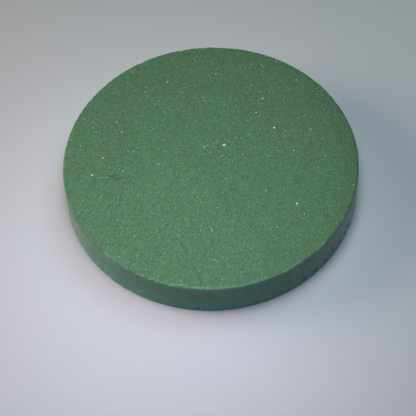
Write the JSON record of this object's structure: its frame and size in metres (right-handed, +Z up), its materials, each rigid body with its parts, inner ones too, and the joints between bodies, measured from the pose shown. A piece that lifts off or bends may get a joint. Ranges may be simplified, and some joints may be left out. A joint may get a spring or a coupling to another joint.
{
  "type": "floral foam disc",
  "caption": "Flat round disc of rigid green foam that takes up water and holds cut stems pushed into its top face.",
  "frame": {"origin": "centre of the base, on the surface that the disc lies on", "axes": "+Z up through the disc's thickness, along its axis; +X to the right and +Y away from the front"},
  "size_m": [0.18, 0.18, 0.025],
  "materials": {
    "foam": "matt, fine-grained rigid foam with small bright broken cells on the flat faces and a smoother, darker cut wall"
  },
  "bodies": {
    "root": {"foam_disc": "foam"}
  },
  "joints": []
}
